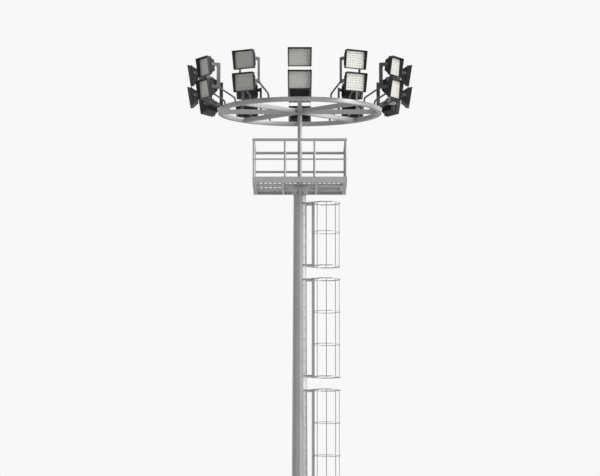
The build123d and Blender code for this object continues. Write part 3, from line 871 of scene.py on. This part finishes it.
def modules():
    """Top, bottom and hoop shares of each ladder module: a short one on top, then the full ones."""
    sizes = bpy.context.scene.pylon_sizes
    low, high = (corner.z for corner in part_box("ladders"))
    found = [(high, high - sizes.short_module, SHORT_HOOP_SHARES)]
    for index in reversed(range(sizes.full_modules)):
        bottom = low + index * sizes.module_pitch
        found.append((bottom + sizes.module_height, bottom, FULL_HOOP_SHARES))
    return found


class PYLON_OT_ladder(bpy.types.Operator):
    """Build the ladder with round rungs"""

    bl_idname = "pylon.ladder"
    bl_label = "Ladder"

    def execute(self, context):
        """Flat stringers, round rungs with welded ends, and a bolt at each stand-off arm."""
        sizes = context.scene.pylon_sizes
        shell = Shell()
        low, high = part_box("ladders")
        middle = (low.x + high.x) / 2
        out = high.y
        half = out - sizes.stringer_thickness
        rung_end = half + sizes.stringer_thickness / 2
        ease, rung_sides, arm_rise, bolt_inset = 0.0015, 16, 0.0325, 0.018
        level = Matrix.Identity(4)
        for top, bottom, _ in modules():
            for y0, y1 in ((-out, -half), (half, out)):
                shell.block(Vector((low.x, y0, bottom)), Vector((high.x, y1, top)), ease, level)
            count = int((top - bottom) / sizes.rung_pitch)
            first = (top + bottom - (count - 1) * sizes.rung_pitch) / 2
            for index in range(count):
                z = first + index * sizes.rung_pitch
                ends = [Vector((middle, y, z)) for y in (-rung_end, rung_end)]
                shell.tube(ends, sizes.rung_radius, rung_sides)
                for side in (-half, half):
                    seat = facing(Vector((middle, side, z)), Vector((0, 1, 0)))
                    ring = flat_ring(seat, sizes.rung_radius, 0, rung_sides)
                    shell.bead(ring, sizes.weld_radius / 2, True)
            for z in (bottom + arm_rise, top - arm_rise):
                for side in (-1, 1):
                    seat = facing(Vector((low.x + bolt_inset, side * out, z)), Vector((0, side, 0)))
                    shell.bolt(seat, sizes.small_bolt, sizes.small_bolt_height, 1)
        shell.piece("ladders_round", "pylon", ("cage_steel", "plated_zinc"), ("ladders",))
        return {"FINISHED"}


class PYLON_OT_cage(bpy.types.Operator):
    """Build the safety cage's round bars and its bolts"""

    bl_idname = "pylon.cage"
    bl_label = "Safety cage"

    def execute(self, context):
        """Seven bars to a module, each bolted to every hoop, and a bolt through each hoop's tail."""
        sizes = context.scene.pylon_sizes
        bars = Shell()
        bolts = Shell()
        low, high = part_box("ladders")
        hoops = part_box("cage_hoops")[1]
        outside = hoops.y
        middle = Vector((hoops.x - outside, 0, 0))
        line = outside - sizes.hoop_thickness - sizes.cage_bar_radius
        tail_y = high.y + sizes.hoop_thickness
        tail_x = (low.x + high.x) / 2 + sizes.hoop_tail
        bar_sides, bars_each_way, eighth = 14, 3, math.pi / 4
        across, height = sizes.small_bolt * SCREW_SHARE, sizes.small_bolt_height * SCREW_SHARE
        for top, bottom, shares in modules():
            first = bottom + sizes.hoop_height / 2
            span = top - bottom - sizes.hoop_height
            levels = [first + share * span for share in shares]
            for index in range(-bars_each_way, bars_each_way + 1):
                out = Vector((math.cos(index * eighth), math.sin(index * eighth), 0))
                ends = [middle + out * line + UP * z for z in (bottom, top)]
                bars.tube(ends, sizes.cage_bar_radius, bar_sides)
                for z in levels:
                    bolts.bolt(facing(middle + out * outside + UP * z, out), across, height)
            for z in levels:
                for side in (-1, 1):
                    seat = facing(Vector((tail_x, side * tail_y, z)), Vector((0, side, 0)))
                    bolts.bolt(seat, across, height)
        bars.piece("cage_bars_round", "pylon", ("cage_steel",), ("cage_bars",))
        bolts.piece("cage_bolts", "pylon", ("plated_zinc",))
        return {"FINISHED"}


class PYLON_OT_welds(bpy.types.Operator):
    """Run the weld beads of the base, mast, platform and ring"""

    bl_idname = "pylon.welds"
    bl_label = "Welds"

    def execute(self, context):
        """One piece for each group of welds."""
        sizes = context.scene.pylon_sizes
        self.ring(sizes)
        self.mast(sizes)
        self.platform(sizes)
        return {"FINISHED"}

    def ring(self, sizes):
        """Beads where the spokes meet the hub and the rim, and where the hub meets the pole."""
        shell = Shell()
        low, high = (corner.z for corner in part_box("ring_rim"))
        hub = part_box("ring_hub")[1].x
        rim = sizes.rim_reach - (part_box("ring_rim")[1].x - sizes.rim_reach)
        spoke_half, spokes = 0.055, 8
        for index in range(spokes):
            turn = Matrix.Rotation(2 * math.pi * index / spokes, 4, "Z")
            for reach in (hub, rim):
                shell.bead(loop_round(turn, spoke_half, low, high, reach), sizes.weld_radius, True)
        pole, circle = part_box("head_pole")[1].x, 48
        shell.bead(flat_ring(Matrix.Identity(4), pole, low, circle), sizes.weld_radius, True)
        shell.piece("ring_welds", "pylon", ("weld_metal",))

    def mast(self, sizes):
        """Beads round the mast's foot and cap, along its seam and along the gussets."""
        shell = Shell()
        foot, lap, cap = (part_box(name)[0].z for name in ("mast_lower", "mast_upper", "mast_cap"))
        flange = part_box("base_flange")[1]
        wall, top_r, taper, sides, gusset_half, gusset_inset = 0.0065, 0.160, 0.0059, 12, 0.0075, 0.030
        gusset_end, gusset_top = flange.x - gusset_inset, flange.z
        flat_share = math.cos(math.pi / sides)

        def reach(z):
            """Corner radius of the mast's outside at a height."""
            return top_r + taper * (cap - z) - (wall if z < lap else 0)

        for z in (foot, cap):
            shell.bead(flat_ring(Matrix.Identity(4), reach(z), z, sides), sizes.weld_radius, True)
        turn = Matrix.Rotation(math.pi / 2 + math.pi / sides, 3, "Z")
        for z0, z1 in ((gusset_top, lap - wall), (lap + wall, cap)):
            seam = [turn @ Vector((reach(z) * flat_share, 0, z)) for z in (z0, z1)]
            shell.bead(seam, sizes.weld_radius / 2)
        for index in range(sides):
            turn = Matrix.Rotation((index + 1 / 2) * 2 * math.pi / sides, 3, "Z")
            for side in (-gusset_half, gusset_half):
                low_in = Vector((reach(foot) * flat_share, side, foot))
                low_out = Vector((gusset_end, side, foot))
                high_in = Vector((reach(gusset_top) * flat_share, side, gusset_top))
                shell.bead([turn @ low_out, turn @ low_in, turn @ high_in], sizes.weld_radius)
        shell.piece("mast_welds", "pylon", ("weld_metal",))

    def platform(self, sizes):
        """Beads on the mitred corners, and screws that hold the deck to its joists."""
        shell = Shell()
        low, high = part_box("edge_beams_front_back")
        lip = 0.105
        for sx in (-1, 1):
            for sy in (-1, 1):
                outer = Vector((sx * high.x, sy * high.y, 0))
                inner = Vector((sx * (high.x - lip), sy * (high.y - lip), 0))
                path = [outer + UP * low.z, outer + UP * high.z, inner + UP * high.z]
                shell.bead(path, sizes.weld_radius / 2)
        deck_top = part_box("deck_left")[1].z
        joist, offset, rows, reach = 0.430, 0.016, 9, 1.06
        across, height = sizes.small_bolt * SCREW_SHARE, sizes.small_bolt_height / 2
        for side in (-joist, joist):
            for step in (-offset, offset):
                for row in range(rows):
                    y = reach * (2 * row / (rows - 1) - 1)
                    if side + step > joist and abs(y) < joist:
                        continue
                    shell.bolt(facing(Vector((side + step, y, deck_top)), UP), across, height, 1)
        shell.piece("platform_fixings", "pylon", ("weld_metal", "plated_zinc"))


def backdrop_light(paint, lit, seen):
    """One strength for rays that see the backdrop, another for light that falls on the object."""
    names = ("Is Camera Ray", "Is Glossy Ray", "Is Transmission Ray")
    rays = [paint.node("ShaderNodeLightPath", out=name) for name in names]
    share = (rays[0] + rays[1] + rays[2]).clamp()
    return share * seen + (1 - share) * lit


class PYLON_OT_stage(bpy.types.Operator):
    """Set the floor, the light and the camera"""

    bl_idname = "pylon.stage"
    bl_label = "Stage"

    def execute(self, context):
        """Pale floor, pale all-round light, a key light from the right and a long lens."""
        stage = context.scene.pylon_stage
        colours = context.scene.pylon_finishes
        self.lay_floor(stage, colours)
        self.light(stage, colours)
        self.aim_camera(stage)
        context.scene.view_settings.view_transform = "Standard"
        return {"FINISHED"}

    def lay_floor(self, stage, colours):
        """Round floor under the base flange."""
        sides, drop, cloud_scale, shade_shares = 96, 0.002, 0.35, (0.985, 1.015)
        ring = flat_ring(Matrix.Identity(4), stage.floor_radius, -drop, sides)
        mesh = bpy.data.meshes.new("studio_floor")
        mesh.from_pydata(ring, [], [tuple(range(sides))])
        paint = Paint(bpy.data.materials.new("pale_floor"))
        tone = paint.varied(HALF, (paint.noise(paint.place(), cloud_scale, 3.0), 0.4))
        mesh.materials.append(paint.surface({
            "Base Color": paint.shades(tone, colours.floor, shade_shares),
            "Roughness": 0.9,
        }))
        put("studio_floor", mesh)

    def light(self, stage, colours):
        """World light all round and one sun."""
        world = bpy.data.worlds.new("studio_light")
        bpy.context.scene.world = world
        paint = Paint(world)
        seen = colours.backdrop[0]
        background = paint.node("ShaderNodeBackground", None, {
            "Color": opaque((1.0, 1.0, 1.0)),
            "Strength": backdrop_light(paint, stage.ambient, seen),
        })
        paint.node("ShaderNodeOutputWorld", None, {"Surface": background})
        lamp = bpy.data.lights.new("key_light", "SUN")
        lamp.energy = stage.sun_strength
        lamp.angle = stage.sun_spread
        key = put("key_light", lamp)
        level = math.cos(stage.sun_rise)
        towards = Vector((math.sin(stage.sun_turn) * level, -math.cos(stage.sun_turn) * level,
                          math.sin(stage.sun_rise)))
        key.rotation_euler = towards.to_track_quat("Z", "Y").to_euler()

    def aim_camera(self, stage):
        """Long lens from near the ground, aimed up the mast."""
        sensor, near, far = 36.0, 1.0, 1500.0
        data = bpy.data.cameras.new("camera")
        data.sensor_fit = "HORIZONTAL"
        data.sensor_width = sensor
        data.lens = stage.lens
        data.clip_start = near
        data.clip_end = far
        camera = put("camera", data)
        camera.location = (stage.camera_side, -stage.camera_back, stage.camera_height)
        aim = Vector((stage.aim_side, 0, stage.aim_height)) - camera.location
        camera.rotation_euler = aim.to_track_quat("-Z", "Y").to_euler()
        bpy.context.scene.camera = camera


OPERATORS = (
    PYLON_OT_paint_frame,
    PYLON_OT_lamp_fronts,
    PYLON_OT_lamp_backs,
    PYLON_OT_side_frames,
    PYLON_OT_railings,
    PYLON_OT_ladder,
    PYLON_OT_cage,
    PYLON_OT_welds,
    PYLON_OT_stage,
)


class PYLON_PT_sidebar(bpy.types.Panel):
    """Lists the pylon's pieces and their settings"""

    bl_idname = "PYLON_PT_sidebar"
    bl_label = "Floodlight pylon"
    bl_space_type = "VIEW_3D"
    bl_region_type = "UI"
    bl_category = "Pylon"

    def draw(self, context):
        """Buttons first, then the settings of each group."""
        for operator in OPERATORS:
            self.layout.operator(operator.bl_idname)
        scene = context.scene
        for group in (scene.pylon_finishes, scene.pylon_sizes, scene.pylon_stage):
            for key in group.bl_rna.properties.keys():
                if key not in ("rna_type", "name"):
                    self.layout.prop(group, key)


GROUPS = (("pylon_finishes", PylonFinishes), ("pylon_sizes", PylonSizes), ("pylon_stage", PylonStage))
CLASSES = tuple(group for _, group in GROUPS) + OPERATORS + (PYLON_PT_sidebar,)


def register():
    """Add the classes and their settings to the scene."""
    for entry in CLASSES:
        bpy.utils.register_class(entry)
    for name, group in GROUPS:
        setattr(bpy.types.Scene, name, PointerProperty(type=group))


def unregister():
    """Take the settings and the classes away again."""
    for name, _ in GROUPS:
        delattr(bpy.types.Scene, name)
    for entry in reversed(CLASSES):
        bpy.utils.unregister_class(entry)


def main():
    """Dress the frame in order."""
    register()
    bpy.ops.pylon.paint_frame()
    bpy.ops.pylon.lamp_fronts()
    bpy.ops.pylon.lamp_backs()
    bpy.ops.pylon.side_frames()
    bpy.ops.pylon.railings()
    bpy.ops.pylon.ladder()
    bpy.ops.pylon.cage()
    bpy.ops.pylon.welds()
    bpy.ops.pylon.stage()


if __name__ == "__main__":
    main()
